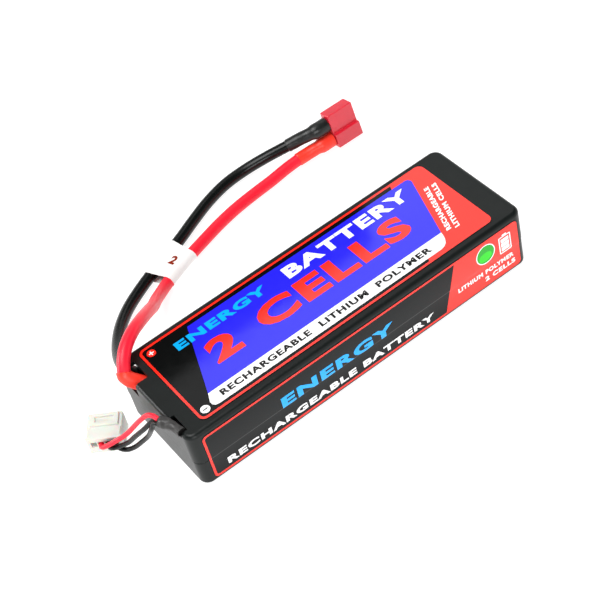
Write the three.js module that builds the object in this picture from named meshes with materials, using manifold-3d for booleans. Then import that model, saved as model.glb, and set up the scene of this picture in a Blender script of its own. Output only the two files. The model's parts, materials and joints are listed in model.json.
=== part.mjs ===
// Two-cell battery pack in a hard plastic case, with its two main leads, the T-shaped
// power plug and the three-wire balance lead. Millimetres, +Z up, X along the case with
// the leads at the -X end. The origin is the middle of the case's underside.
import * as THREE from "three";
import { mergeVertices } from "three/addons/utils/BufferGeometryUtils.js";
import Module from "manifold-3d";

const wasm = await Module();
wasm.setup();

// ---------------------------------------------------------------- driving dimensions

const packLength = 138;
const packWidth = 46;
const packHeight = 25;
const labelThickness = 0.15;

const caseWidth = packWidth - 2 * labelThickness;
const caseHeight = packHeight - labelThickness;
const wall = 1.5;
const cornerRadius = 3.6;
const topEdgeRadius = 1.6;
const bottomEdgeRadius = 1.4;
const seamHeight = 11.2;
const baseInset = 0.15; // the base is this much smaller than the lid on every side
const lipHeight = 1.5; // the base's locating lip inside the lid
const lipThickness = 0.6;
const lipClearance = 0.15;

const innerLength = packLength - 2 * wall;
const innerWidth = caseWidth - 2 * wall;
const innerTop = caseHeight - wall;
const endWallInside = -innerLength / 2;

// The cut-out in the end that the red lead leaves through, and the black lead's hole below
// it in the far side.
const redLeadNotch = { depth: 5.3, nearSide: 9.1, farSide: 18, floor: 18.8 };
const blackLeadHole = { xLow: -67.5, xHigh: -61.6, zLow: 13.3, zHigh: 19.8 };

// The shallow cut-out at the near corner that the balance lead leaves through.
const balanceNotch = { depth: 2.6, nearSide: -18.6, farSide: -10.6, floor: 22.7 };

const topLabel = { length: 121, width: 40.2, corner: 2.6, x: -0.9, y: 0.3 };
const sideLabels = { low: 1.6, high: 22.4, corner: 1.8, end: 65.9 };
const nearLabelStart = -64.7;
const farLabelStart = -59.4; // it stops short of the black lead's hole

const leadRadius = 2.25; // 12 AWG silicone wire
const exitSleeveRadius = 2.7;
const plugSleeveRadius = 3;
const balanceWireRadius = 0.85; // 22 AWG silicone wire
const balanceSleeveRadius = 1.8;
const clearance = 0.15; // between pieces that fit in each other

const cellLength = 115.6;
const cellWidth = 41.6;
const cellThickness = 9.5;
const cellStart = -51;
const foamThin = 0.8;
const foamMiddle = 0.6;
const lowerCellBottom = wall + foamThin;
const upperCellBottom = lowerCellBottom + cellThickness + foamMiddle;
const upperCellTop = upperCellBottom + cellThickness;

const tab = { middle: 12, width: 8, thickness: 0.4 };
const padWidth = 36; // of the foam

const boardThickness = 1.6;
const boardInside = -57.4; // the board's face towards the cells
const boardOutside = boardInside - boardThickness;

// ---------------------------------------------------------------- routes of the wires

const redExitRoute = [
  [-63.7, 5.5, 19.9],
  [-64.2, 8.3, 20.2],
  [-65.4, 11.2, 20.8],
  [-67.2, 13, 22.1],
  [-68.6, 13.9, 23.7],
  [-69.25, 14.9, 25.5],
  [-68.9, 15.38, 26.07],
];
const blackExitRoute = [
  [-62.2, 8, 14.9],
  [-62.7, 11.5, 15.3],
  [-63.6, 15.5, 16],
  [-64.5, 19.5, 16.4],
  [-64.6, 22.5, 16.4],
];
const redLeadRoute = [
  [-68.7, 15.62, 26.33],
  [-68.15, 16.26, 27.03],
  [-66, 18.6, 28.9],
  [-62.9, 21.4, 29.8],
  [-58.5, 25.1, 29.4],
  [-53.1, 30.1, 26.6],
  [-46.5, 38.6, 19.6],
  [-42.2, 45.7, 13],
  [-38.1, 52.4, 7.9],
  [-34.1, 57.3, 4.5],
  [-29.9, 60.8, 2.9],
  [-22, 64.6, 2.6],
  [-14.3, 67.3, 2.6],
  [-6.5, 70, 2.4],
  [1.4, 72.5, 2.3],
  [10.5, 74.6, 2.3],
  [20, 75.9, 2.3],
  [29, 76.7, 2.4],
  [36.5, 77.4, 2.8],
  [42, 77.6, 3.1],
];
const blackLeadRoute = [
  [-64.6, 23.1, 16.35],
  [-64.7, 24.7, 16],
  [-64.7, 26.6, 15.2],
  [-64.5, 29.2, 13.8],
  [-63.7, 33.8, 11.6],
  [-61.8, 39.7, 9.2],
  [-58.4, 46.6, 6.9],
  [-53.3, 53.9, 5],
  [-46.6, 60.5, 3.6],
  [-38.8, 65.7, 2.8],
  [-30.6, 69.8, 2.6],
  [-22.1, 73.2, 2.6],
  [-13.2, 77, 2.6],
  [-3.9, 81.7, 2.4],
  [6, 86.1, 2.3],
  [16, 88.9, 2.3],
  [25.5, 89.2, 2.7],
  [34, 87.1, 4.3],
  [42, 83.5, 6.7],
];
const redPlugSleeveRoute = [
  [42.4, 77.6, 3.15],
  [46.5, 77.4, 3.3],
  [50.3, 76.8, 3.8],
  [53.5, 76.3, 4.05],
  [58.1, 76.3, 4.05],
];
const blackPlugSleeveRoute = [
  [42.4, 83.3, 6.85],
  [46.5, 81.5, 8.2],
  [50, 79.6, 9.4],
  [53.2, 78.4, 10.05],
  [58.1, 78.3, 10.05],
];
const redRootRoute = [
  [-63.6, 5.1, 19.85],
  [-63.1, 2.8, 19.6],
  [-62.1, -0.4, 18.9],
  [-61.6, -3, 17.2],
  [-61.6, -3.9, 15.4],
  [-61.6, -3.9, 14.3],
];
const blackRootRoute = [
  [-62.15, 7.6, 14.85],
  [-61.9, 5.4, 14.4],
  [-61.6, 3, 12.9],
  [-61.6, 1.6, 10.6],
  [-61.6, 1.5, 8.8],
  [-61.6, 1.5, 7.8],
];
const balanceRootRoute = [
  [-67.45, -15.4, 22.5],
  [-67.2, -15.4, 19.5],
  [-65.6, -15.4, 16],
  [-62.8, -15.4, 13.8],
  [-59.4, -15.4, 13.2],
];
const balanceSleeveRoute = [
  [-68.25, -18, 24.6],
  [-69.1, -14.2, 24.9],
  [-71, -9.6, 24.9],
];
const balanceWireRoutes = {
  balance_wire_red: [
    [-71.1, -9.3, 25.85],
    [-71.6, -7.2, 26],
    [-72.6, -4.7, 25],
    [-74.6, -1.6, 21.5],
    [-76.7, 1.7, 16.8],
    [-78.5, 4, 13.3],
    [-80.6, 6, 10.8],
    [-82.7, 8, 8.8],
    [-84.9, 10.2, 6.6],
    [-86.3, 12.2, 4.9],
    [-86.3, 13.7, 4.2],
    [-85.3, 15, 4.2],
  ],
  balance_wire_black_1: [
    [-70.3, -8.95, 24.4],
    [-71, -7.2, 24.2],
    [-72.6, -5.6, 22.3],
    [-75, -2.9, 18.3],
    [-77.6, 1.2, 13],
    [-79.6, 4.2, 9],
    [-82, 7.2, 6.4],
    [-84.2, 9.4, 5.2],
    [-84.4, 11.6, 4.3],
    [-83.3, 13.6, 4.2],
  ],
  balance_wire_black_2: [
    [-71.95, -9.65, 24.4],
    [-72.6, -8.2, 24.1],
    [-73.6, -7.1, 21.4],
    [-74.5, -3, 14.5],
    [-76.4, 0.3, 10],
    [-78.4, 3.1, 6.5],
    [-80.4, 5.4, 4.7],
    [-81.9, 7.8, 4.2],
    [-82.3, 10.2, 4.2],
    [-81.3, 12.1, 4.2],
  ],
};

// ---------------------------------------------------------------- finishes

function finish(color, roughness, metalness = 0) {
  return new THREE.MeshStandardMaterial({ color, roughness, metalness });
}

const finishes = {
  casePlastic: finish(0x24292a, 0.42),
  topLabel: finish(0x4340e0, 0.25),
  sideLabel: finish(0x2c2f33, 0.3),
  redSilicone: finish(0xee2b40, 0.45),
  blackSilicone: finish(0x16201d, 0.45),
  redShrink: finish(0xf4452f, 0.4),
  blackShrink: finish(0x272c2a, 0.5),
  greyShrink: finish(0x5a5757, 0.55),
  redNylon: finish(0xdc3548, 0.4),
  whiteNylon: finish(0xe9ecea, 0.45),
  gold: finish(0xd9ae55, 0.3, 1),
  springBrass: finish(0xc79a4a, 0.35, 1),
  tinned: finish(0xc4c6c8, 0.35, 1),
  copper: finish(0xc9793f, 0.4, 1),
  paper: finish(0xf6f6f4, 0.7),
  cellFoil: finish(0xaeb3b8, 0.35, 0.8),
  board: finish(0x1f6b3a, 0.5),
  foam: finish(0x3a3d40, 0.95),
};

// ---------------------------------------------------------------- shapes and solids

const group = new THREE.Group();

function addPiece(name, geometry, material, parent = group) {
  const piece = new THREE.Mesh(geometry, material);
  piece.name = name;
  parent.add(piece);
}

function toSolid(geometry) {
  const bare = geometry.clone();
  bare.deleteAttribute("normal");
  bare.deleteAttribute("uv");
  const merged = mergeVertices(bare, 1e-4);
  return new wasm.Manifold(
    new wasm.Mesh({
      numProp: 3,
      vertProperties: new Float32Array(merged.attributes.position.array),
      triVerts: new Uint32Array(merged.index.array),
    }),
  );
}

function toGeometry(solid) {
  const mesh = solid.getMesh();
  const geometry = new THREE.BufferGeometry();
  geometry.setAttribute("position", new THREE.BufferAttribute(mesh.vertProperties, 3));
  geometry.setIndex(new THREE.BufferAttribute(mesh.triVerts, 1));
  geometry.computeVertexNormals();
  return geometry;
}

function cutAway(geometry, tools) {
  const solid = tools.reduce((left, tool) => left.subtract(toSolid(tool)), toSolid(geometry));
  return toGeometry(solid);
}

function joined(geometries) {
  const [first, ...others] = geometries.map(toSolid);
  return toGeometry(others.reduce((whole, other) => whole.add(other), first));
}

function boxBetween(low, high) {
  const size = high.map((value, axis) => value - low[axis]);
  const middle = high.map((value, axis) => (value + low[axis]) / 2);
  return new THREE.BoxGeometry(...size).translate(...middle);
}

function roundedRectangle(width, depth, radius) {
  const x = width / 2 - radius;
  const y = depth / 2 - radius;
  const quarter = Math.PI / 2;
  const shape = new THREE.Shape();
  shape.absarc(x, y, radius, 0, quarter);
  shape.absarc(-x, y, radius, quarter, 2 * quarter);
  shape.absarc(-x, -y, radius, 2 * quarter, 3 * quarter);
  shape.absarc(x, -y, radius, 3 * quarter, 4 * quarter);
  return shape;
}

// An upright slab of a plan outline, its top and bottom edges rounded by edgeRadius.
function slab(outline, zLow, zHigh, edgeRadius = 0) {
  const geometry = new THREE.ExtrudeGeometry(outline, {
    depth: zHigh - zLow - 2 * edgeRadius,
    bevelEnabled: edgeRadius > 0,
    bevelThickness: edgeRadius,
    bevelSize: edgeRadius,
    bevelOffset: -edgeRadius,
    bevelSegments: 4,
    curveSegments: 6,
  });
  return geometry.translate(0, 0, zLow + edgeRadius);
}

function smoothPath(route) {
  return new THREE.CatmullRomCurve3(route.map((point) => new THREE.Vector3(...point)));
}

function sweep(section, route, steps, curveSegments) {
  return new THREE.ExtrudeGeometry(section, {
    extrudePath: smoothPath(route),
    steps,
    curveSegments,
  });
}

function tube(route, radius, sides, steps) {
  const section = new THREE.Shape();
  section.absarc(0, 0, radius, 0, 2 * Math.PI);
  return sweep(section, route, steps, sides / 2);
}

// A cylinder from xLow to xHigh, along X.
function roundBar(radius, xLow, xHigh, y, z, sides = 16) {
  const bar = new THREE.CylinderGeometry(radius, radius, xHigh - xLow, sides);
  return bar.rotateZ(Math.PI / 2).translate((xLow + xHigh) / 2, y, z);
}

// ---------------------------------------------------------------- the case

const beyond = 100; // a cutting tool reaches this far past what it cuts

function lowerLevel() {
  return boxBetween([-beyond, -beyond, -beyond], [beyond, beyond, seamHeight]);
}

function upperLevel() {
  return boxBetween([-beyond, -beyond, seamHeight], [beyond, beyond, beyond]);
}

function innerSpace(margin, zLow, zHigh) {
  const outline = roundedRectangle(
    innerLength + 2 * margin,
    innerWidth + 2 * margin,
    cornerRadius - wall + margin,
  );
  return slab(outline, zLow, zHigh);
}

function addLid() {
  const outline = roundedRectangle(packLength, caseWidth, cornerRadius);
  const block = slab(outline, seamHeight - 4, caseHeight, topEdgeRadius);
  const lipRoom = innerSpace(
    lipThickness + lipClearance,
    seamHeight - 1,
    seamHeight + lipHeight + lipClearance,
  );
  const leadNotch = boxBetween(
    [-beyond, redLeadNotch.nearSide, redLeadNotch.floor],
    [-packLength / 2 + redLeadNotch.depth, redLeadNotch.farSide, beyond],
  );
  const leadHole = boxBetween(
    [blackLeadHole.xLow, caseWidth / 2 - 2 * wall, blackLeadHole.zLow],
    [blackLeadHole.xHigh, beyond, blackLeadHole.zHigh],
  );
  const smallNotch = boxBetween(
    [-beyond, balanceNotch.nearSide, balanceNotch.floor],
    [-packLength / 2 + balanceNotch.depth, balanceNotch.farSide, beyond],
  );
  const ribbonPocket = boxBetween(
    [-68.5, balanceNotch.nearSide, seamHeight + 4],
    [endWallInside + 0.5, balanceNotch.nearSide + 6, balanceNotch.floor + 0.2],
  );
  const cuts = [
    lowerLevel(),
    innerSpace(0, 0, innerTop),
    lipRoom,
    leadNotch,
    leadHole,
    smallNotch,
    ribbonPocket,
  ];
  addPiece("case_lid", cutAway(block, cuts), finishes.casePlastic);
}

function addBase() {
  const outline = roundedRectangle(
    packLength - 2 * baseInset,
    caseWidth - 2 * baseInset,
    cornerRadius - baseInset,
  );
  const block = slab(outline, 0, seamHeight + 4, bottomEdgeRadius);
  const tub = cutAway(block, [upperLevel()]);
  const lip = slab(
    roundedRectangle(
      innerLength + 2 * lipThickness,
      innerWidth + 2 * lipThickness,
      cornerRadius - wall + lipThickness,
    ),
    seamHeight - 1,
    seamHeight + lipHeight,
  );
  const hollowed = cutAway(joined([tub, lip]), [innerSpace(0, wall, beyond)]);
  addPiece("case_base", hollowed, finishes.casePlastic);
}

// A side label of the near side: it follows the step under the lid's edge.
function sideLabel(xLow, xHigh) {
  const { low: zLow, high: zHigh, corner } = sideLabels;
  const outer = -caseWidth / 2;
  const inner = outer + baseInset;
  const fold = seamHeight - labelThickness;
  const levels = [
    boxBetween([xLow, outer - labelThickness, fold], [xHigh, outer, zHigh]),
    boxBetween([xLow, outer - labelThickness, fold], [xHigh, inner, seamHeight]),
    boxBetween([xLow, inner - labelThickness, zLow], [xHigh, inner, seamHeight]),
  ];
  const outline = slab(roundedRectangle(xHigh - xLow, zHigh - zLow, corner), -1, 1);
  outline.rotateX(Math.PI / 2).translate((xLow + xHigh) / 2, outer, (zLow + zHigh) / 2);
  return toGeometry(toSolid(joined(levels)).intersect(toSolid(outline)));
}

function addLabels() {
  const outline = roundedRectangle(topLabel.length, topLabel.width, topLabel.corner);
  const top = slab(outline, caseHeight, packHeight);
  addPiece("label_top", top.translate(topLabel.x, topLabel.y, 0), finishes.topLabel);
  addPiece("label_near", sideLabel(nearLabelStart, sideLabels.end), finishes.sideLabel);
  const far = sideLabel(-sideLabels.end, -farLabelStart).rotateZ(Math.PI);
  addPiece("label_far", far, finishes.sideLabel);
}

// ---------------------------------------------------------------- inside the case

function addCells() {
  const cellMiddle = cellStart + cellLength / 2;
  const cells = [
    { name: "cell_lower", bottom: lowerCellBottom, nearPole: "negative", farPole: "positive" },
    { name: "cell_upper", bottom: upperCellBottom, nearPole: "positive", farPole: "negative" },
  ];
  for (const { name, bottom, nearPole, farPole } of cells) {
    const cell = slab(roundedRectangle(cellLength, cellWidth, 1), bottom, bottom + cellThickness);
    addPiece(name, cell.translate(cellMiddle, 0, 0), finishes.cellFoil);
    const tabHeight = bottom + cellThickness / 2;
    for (const [pole, middle] of [[nearPole, -tab.middle], [farPole, tab.middle]]) {
      const strip = boxBetween(
        [boardInside, middle - tab.width / 2, tabHeight - tab.thickness / 2],
        [cellStart, middle + tab.width / 2, tabHeight + tab.thickness / 2],
      );
      addPiece(`${name}_tab_${pole}`, strip, finishes.tinned);
    }
  }
}

function addFoam() {
  const pads = {
    foam_bottom: [wall, lowerCellBottom],
    foam_middle: [lowerCellBottom + cellThickness, upperCellBottom],
    foam_top: [upperCellTop, innerTop - 0.3],
  };
  const start = cellStart + 4;
  const end = cellStart + cellLength - 4;
  for (const [name, [zLow, zHigh]] of Object.entries(pads)) {
    const pad = boxBetween([start, -padWidth / 2, zLow], [end, padWidth / 2, zHigh]);
    addPiece(name, pad, finishes.foam);
  }
  const endFoam = boxBetween(
    [cellStart + cellLength, -padWidth / 2, lowerCellBottom],
    [innerLength / 2 - 0.3, padWidth / 2, upperCellTop],
  );
  addPiece("foam_end", endFoam, finishes.foam);
}

function addBoard() {
  const board = boxBetween([boardOutside, -19, 3], [boardInside, 19, 21.8]);
  addPiece("terminal_board", board, finishes.board);
  const link = boxBetween([boardOutside - 0.5, 12, 5], [boardOutside, 17, 19]);
  addPiece("series_link", link, finishes.copper);
  const pads = {
    solder_block_positive: [redRootRoute, 4.6],
    solder_block_negative: [blackRootRoute, 4.2],
  };
  for (const [name, [route, height]] of Object.entries(pads)) {
    const [x, y, z] = route[route.length - 1];
    const top = z - 0.3;
    const block = boxBetween([x - 2, y - 2.5, top - height], [boardOutside, y + 2.5, top]);
    addPiece(name, block, finishes.tinned);
  }
}

// ---------------------------------------------------------------- main leads and plug

const plugLength = 11.4;
const plugTilt = THREE.MathUtils.degToRad(-12);
const crossbar = { height: 5.8, thickness: 7 };
const stem = { height: 8.1, thickness: 5.5 };
const plugHeight = crossbar.height + stem.height;
const positiveAt = { y: -crossbar.thickness / 2, z: 3.4 };
const negativeAt = { y: -stem.thickness / 2, z: 9.7 };
const socket = { width: 6, gap: 2.6, start: 2.2 };
const blade = { width: 5.4, thickness: 0.9, end: 10.2 };
const cup = { radius: 2.2, bore: 1.6, length: 4, rim: -0.5 };
const spring = { width: 4.4, thickness: 0.3, start: 2.8, length: 6.8, lean: 5.5 };

const plug = new THREE.Group();
plug.position.set(58.4, 79, 0);
plug.rotation.x = plugTilt;
group.add(plug);

// A contact lies in a flat socket. The negative one stands on edge, the stem of the T,
// and the positive one lies across, the bar of the T: this turns the first to the second.
function lieAcross(geometry) {
  return geometry.rotateX(-Math.PI / 2).translate(0, positiveAt.y, positiveAt.z);
}

function standUp(geometry) {
  return geometry.translate(0, negativeAt.y, negativeAt.z);
}

// A socket is drawn on edge about y = 0, its blade on the +Y side and its spring on the
// other.
function socketSpace() {
  return boxBetween(
    [socket.start, -socket.gap / 2, -socket.width / 2],
    [beyond, socket.gap / 2, socket.width / 2],
  );
}

function neckSpace() {
  return boxBetween([-1, 0, -1.8], [socket.start + 1, 1.2, 1.8]);
}

function contact() {
  const bladeHigh = socket.gap / 2 - clearance;
  const bladeLow = bladeHigh - blade.thickness;
  const middle = (bladeLow + bladeHigh) / 2;
  const plate = boxBetween(
    [socket.start + clearance, bladeLow, -blade.width / 2],
    [blade.end, bladeHigh, blade.width / 2],
  );
  const neck = boxBetween(
    [cup.rim - 0.4, middle - 0.35, -1.5],
    [socket.start + 1, middle + 0.35, 1.5],
  );
  const barrel = roundBar(cup.radius, cup.rim - cup.length, cup.rim, 0, 0);
  const bore = roundBar(cup.bore, cup.rim - cup.length - 1, cup.rim - 0.8, 0, 0);
  return joined([plate, neck, cutAway(barrel, [bore])]);
}

// The leaf leans away from the socket's wall, towards the blade.
function leafSpring() {
  const leaf = boxBetween(
    [0, 0, -spring.width / 2],
    [spring.length, spring.thickness, spring.width / 2],
  );
  leaf.rotateZ(THREE.MathUtils.degToRad(spring.lean));
  return leaf.translate(spring.start, -socket.gap / 2 + clearance, 0);
}

function plugOutline() {
  const shape = new THREE.Shape();
  shape.moveTo(0, 0);
  shape.lineTo(0, plugHeight);
  shape.lineTo(-stem.thickness, plugHeight);
  shape.lineTo(-stem.thickness, crossbar.height);
  shape.lineTo(-crossbar.thickness, crossbar.height);
  shape.lineTo(-crossbar.thickness, 0);
  return shape;
}

function addPlug() {
  const edge = 0.4;
  const body = new THREE.ExtrudeGeometry(plugOutline(), {
    depth: plugLength - 2 * edge,
    bevelThickness: edge,
    bevelSize: edge,
    bevelOffset: -edge,
    bevelSegments: 2,
  });
  body.translate(0, 0, edge);
  body.applyMatrix4(new THREE.Matrix4().set(0, 0, 1, 0, 1, 0, 0, 0, 0, 1, 0, 0, 0, 0, 0, 1));
  const spaces = [
    lieAcross(socketSpace()),
    lieAcross(neckSpace()),
    standUp(socketSpace()),
    standUp(neckSpace()),
  ];
  addPiece("plug_housing", cutAway(body, spaces), finishes.redNylon, plug);
  addPiece("plug_contact_positive", lieAcross(contact()), finishes.gold, plug);
  addPiece("plug_contact_negative", standUp(contact()), finishes.gold, plug);
  addPiece("plug_spring_positive", lieAcross(leafSpring()), finishes.springBrass, plug);
  addPiece("plug_spring_negative", standUp(leafSpring()), finishes.springBrass, plug);
}

// A shrink sleeve over the wire, open at the plug's end where the contact's cup goes in.
function plugSleeve(route) {
  const [x, y, z] = route[route.length - 1];
  const room = roundBar(cup.radius + 0.3, x - cup.length - 0.6, x + 1, y, z);
  return cutAway(tube(route, plugSleeveRadius, 14, 12), [room]);
}

function addMainLeads() {
  const { redShrink, blackShrink, redSilicone, blackSilicone } = finishes;
  addPiece("lead_root_red", tube(redRootRoute, leadRadius, 10, 8), redSilicone);
  addPiece("lead_root_black", tube(blackRootRoute, leadRadius, 10, 8), blackSilicone);
  addPiece("exit_sleeve_red", tube(redExitRoute, exitSleeveRadius, 12, 12), redShrink);
  addPiece("exit_sleeve_black", tube(blackExitRoute, exitSleeveRadius, 12, 10), blackShrink);
  addPiece("main_lead_red", tube(redLeadRoute, leadRadius, 10, 38), redSilicone);
  addPiece("main_lead_black", tube(blackLeadRoute, leadRadius, 10, 36), blackSilicone);
  addPiece("plug_sleeve_red", plugSleeve(redPlugSleeveRoute), redShrink);
  addPiece("plug_sleeve_black", plugSleeve(blackPlugSleeveRoute), blackShrink);
}

function addTag() {
  const tagLength = 17;
  const height = 5.35;
  const paperThickness = 0.2;
  const width = 14.6;
  const band = roundedRectangle(width, height, height / 2 - 0.01);
  const inside = roundedRectangle(
    width - 2 * paperThickness,
    height - 2 * paperThickness,
    height / 2 - paperThickness - 0.01,
  );
  band.holes.push(new THREE.Path(inside.getPoints(6).reverse()));
  const tag = slab(band, -tagLength / 2, tagLength / 2);
  tag.rotateX(Math.PI / 2).rotateZ(Math.PI / 2 + THREE.MathUtils.degToRad(21.4));
  tag.translate(-22, 68.8, 0.02 + height / 2);
  addPiece("wire_tag", tag, finishes.paper);
}

// ---------------------------------------------------------------- balance lead

const housing = { width: 12.2, length: 10.9, height: 7.2, rise: 0.8 };
const cavity = { pitch: 2.5, width: 2, height: 2.4, middle: 4.2, first: -3.75 };

function addBalanceHousing() {
  const connector = new THREE.Group();
  connector.position.set(-84.9, 13.5, 0);
  connector.rotation.z = THREE.MathUtils.degToRad(-36.5);
  group.add(connector);

  const outline = roundedRectangle(housing.width, housing.length, 0.8);
  const block = slab(outline, 0, housing.height, 0.4).translate(0, housing.length / 2, 0);
  const raised = boxBetween(
    [-4.9, 5.2, housing.height - 1],
    [4.9, housing.length - 0.6, housing.height + housing.rise],
  );
  const cavities = [0, 1, 2, 3].map((place) => {
    const middle = cavity.first + place * cavity.pitch;
    return boxBetween(
      [middle - cavity.width / 2, -1, cavity.middle - cavity.height / 2],
      [middle + cavity.width / 2, housing.length + 1, cavity.middle + cavity.height / 2],
    );
  });
  const body = cutAway(joined([block, raised]), cavities);
  addPiece("balance_housing", body, finishes.whiteNylon, connector);

  for (const place of [1, 2, 3]) {
    const middle = cavity.first + place * cavity.pitch;
    const terminal = boxBetween(
      [middle - 0.75, 2.6, cavity.middle - 0.9],
      [middle + 0.75, 8.8, cavity.middle + 0.9],
    );
    addPiece(`balance_terminal_${place}`, terminal, finishes.tinned, connector);
  }
}

function addBalanceLead() {
  const ribbon = sweep(roundedRectangle(5.4, 1.7, 0.8), balanceRootRoute, 8, 2);
  addPiece("balance_root", ribbon, finishes.blackSilicone);
  const sleeve = tube(balanceSleeveRoute, balanceSleeveRadius, 12, 6);
  addPiece("balance_sleeve", sleeve, finishes.greyShrink);
  for (const [name, route] of Object.entries(balanceWireRoutes)) {
    const colour = name.endsWith("red") ? finishes.redSilicone : finishes.blackSilicone;
    addPiece(name, tube(route, balanceWireRadius, 8, 14), colour);
  }
}

addLid();
addBase();
addLabels();
addCells();
addFoam();
addBoard();
addMainLeads();
addPlug();
addTag();
addBalanceLead();
addBalanceHousing();

export default group;
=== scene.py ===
"""The looks of a two-cell hard-case battery pack, with its leads and plugs, around its
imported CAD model. Metres, +Z up. Dimensions are written in millimetres."""

import json
import math

import bmesh
import bpy
from mathutils import Matrix, Vector, geometry, noise
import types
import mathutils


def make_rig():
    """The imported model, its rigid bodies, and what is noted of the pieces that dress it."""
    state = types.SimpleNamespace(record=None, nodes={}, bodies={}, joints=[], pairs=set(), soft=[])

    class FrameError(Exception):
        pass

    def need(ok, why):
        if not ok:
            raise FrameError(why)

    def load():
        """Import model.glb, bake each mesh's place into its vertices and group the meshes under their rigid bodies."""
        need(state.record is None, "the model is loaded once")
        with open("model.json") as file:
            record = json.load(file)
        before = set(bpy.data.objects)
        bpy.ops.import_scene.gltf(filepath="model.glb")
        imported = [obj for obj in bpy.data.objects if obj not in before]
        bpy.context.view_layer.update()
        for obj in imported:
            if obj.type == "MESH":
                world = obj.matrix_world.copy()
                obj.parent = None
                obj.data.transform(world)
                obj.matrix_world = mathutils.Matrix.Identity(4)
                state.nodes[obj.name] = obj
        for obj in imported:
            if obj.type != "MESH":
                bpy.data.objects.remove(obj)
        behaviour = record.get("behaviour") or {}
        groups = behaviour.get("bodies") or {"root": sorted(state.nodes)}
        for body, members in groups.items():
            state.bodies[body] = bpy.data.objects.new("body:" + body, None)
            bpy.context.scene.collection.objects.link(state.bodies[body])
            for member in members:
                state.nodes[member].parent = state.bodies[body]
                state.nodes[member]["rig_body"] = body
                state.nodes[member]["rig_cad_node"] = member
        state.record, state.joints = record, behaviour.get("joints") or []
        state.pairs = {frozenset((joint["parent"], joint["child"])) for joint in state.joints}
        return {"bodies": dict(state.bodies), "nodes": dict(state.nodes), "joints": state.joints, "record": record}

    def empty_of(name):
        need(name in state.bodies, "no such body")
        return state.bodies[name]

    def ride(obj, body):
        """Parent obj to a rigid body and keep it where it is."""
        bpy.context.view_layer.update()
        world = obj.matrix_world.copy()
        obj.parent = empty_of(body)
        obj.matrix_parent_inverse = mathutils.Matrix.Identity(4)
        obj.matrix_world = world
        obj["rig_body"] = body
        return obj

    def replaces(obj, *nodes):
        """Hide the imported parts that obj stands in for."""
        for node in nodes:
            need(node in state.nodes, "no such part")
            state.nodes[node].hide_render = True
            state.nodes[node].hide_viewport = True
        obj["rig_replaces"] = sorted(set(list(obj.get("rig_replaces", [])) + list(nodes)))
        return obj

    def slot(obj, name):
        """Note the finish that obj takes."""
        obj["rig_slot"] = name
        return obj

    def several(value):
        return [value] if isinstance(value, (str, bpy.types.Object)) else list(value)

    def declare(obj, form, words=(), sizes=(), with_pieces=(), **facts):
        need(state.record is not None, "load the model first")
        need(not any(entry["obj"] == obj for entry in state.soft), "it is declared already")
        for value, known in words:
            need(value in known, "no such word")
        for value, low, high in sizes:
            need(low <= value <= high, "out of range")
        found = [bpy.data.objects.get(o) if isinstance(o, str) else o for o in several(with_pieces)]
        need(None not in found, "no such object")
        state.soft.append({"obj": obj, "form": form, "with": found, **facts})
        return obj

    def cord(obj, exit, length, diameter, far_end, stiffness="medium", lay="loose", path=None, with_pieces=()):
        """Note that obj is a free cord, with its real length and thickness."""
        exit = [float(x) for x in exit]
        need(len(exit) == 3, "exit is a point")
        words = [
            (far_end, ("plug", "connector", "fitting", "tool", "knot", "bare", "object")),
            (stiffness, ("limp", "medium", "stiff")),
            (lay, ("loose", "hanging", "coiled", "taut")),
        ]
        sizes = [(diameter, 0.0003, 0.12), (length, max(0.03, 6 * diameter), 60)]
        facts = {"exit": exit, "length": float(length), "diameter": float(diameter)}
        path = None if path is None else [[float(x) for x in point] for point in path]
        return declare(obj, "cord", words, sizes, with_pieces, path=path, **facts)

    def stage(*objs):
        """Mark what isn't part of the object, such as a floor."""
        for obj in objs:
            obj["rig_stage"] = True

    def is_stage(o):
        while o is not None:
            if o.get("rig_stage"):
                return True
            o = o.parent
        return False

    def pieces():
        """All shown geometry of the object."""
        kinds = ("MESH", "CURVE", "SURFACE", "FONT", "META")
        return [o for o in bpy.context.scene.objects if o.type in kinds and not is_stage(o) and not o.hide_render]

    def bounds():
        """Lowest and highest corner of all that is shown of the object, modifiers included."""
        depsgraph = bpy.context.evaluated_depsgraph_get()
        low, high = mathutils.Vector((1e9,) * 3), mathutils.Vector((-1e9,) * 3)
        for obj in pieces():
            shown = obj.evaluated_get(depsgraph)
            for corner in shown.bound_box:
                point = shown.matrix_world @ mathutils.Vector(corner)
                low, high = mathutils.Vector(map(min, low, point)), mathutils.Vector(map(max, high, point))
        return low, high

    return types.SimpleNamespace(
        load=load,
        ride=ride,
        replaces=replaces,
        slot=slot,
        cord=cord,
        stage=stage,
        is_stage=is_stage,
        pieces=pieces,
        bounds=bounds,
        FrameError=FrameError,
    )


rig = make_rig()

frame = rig.load()
cad_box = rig.bounds()

MM = 0.001
BODY = "pack"

# ---------------------------------------------------------------- driving dimensions

PACK_LENGTH = 138.0
CASE_WIDTH = 45.7
CASE_HEIGHT = 24.85
LABEL_TOP = 25.0
LABEL_SIDE = 23.0
WALL = 1.5
CORNER = 3.6
TOP_EDGE = 1.6
BOTTOM_EDGE = 1.4
SEAM = 11.2
SEAM_GROOVE = 0.3
BASE_INSET = 0.15

WIRE_RADIUS = 2.25
EXIT_SLEEVE_RADIUS = 2.7
PLUG_SLEEVE_RADIUS = 3.0
BORE_ROOM = 0.05
CUP_ROOM = 2.45
BALANCE_WIRE_RADIUS = 0.85
BALANCE_SLEEVE_RADIUS = 1.8
BALANCE_SLEEVE_WALL = 0.25

PLUG_TILT = math.radians(-12)
PLUG_CORNER = (58.4, 79.0, 0.0)
PLUG_LENGTH = 11.4
PLUG_HEIGHT = 13.9
CROSSBAR_HEIGHT = 5.8
CROSSBAR_THICKNESS = 7.0
STEM_THICKNESS = 5.5


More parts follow.
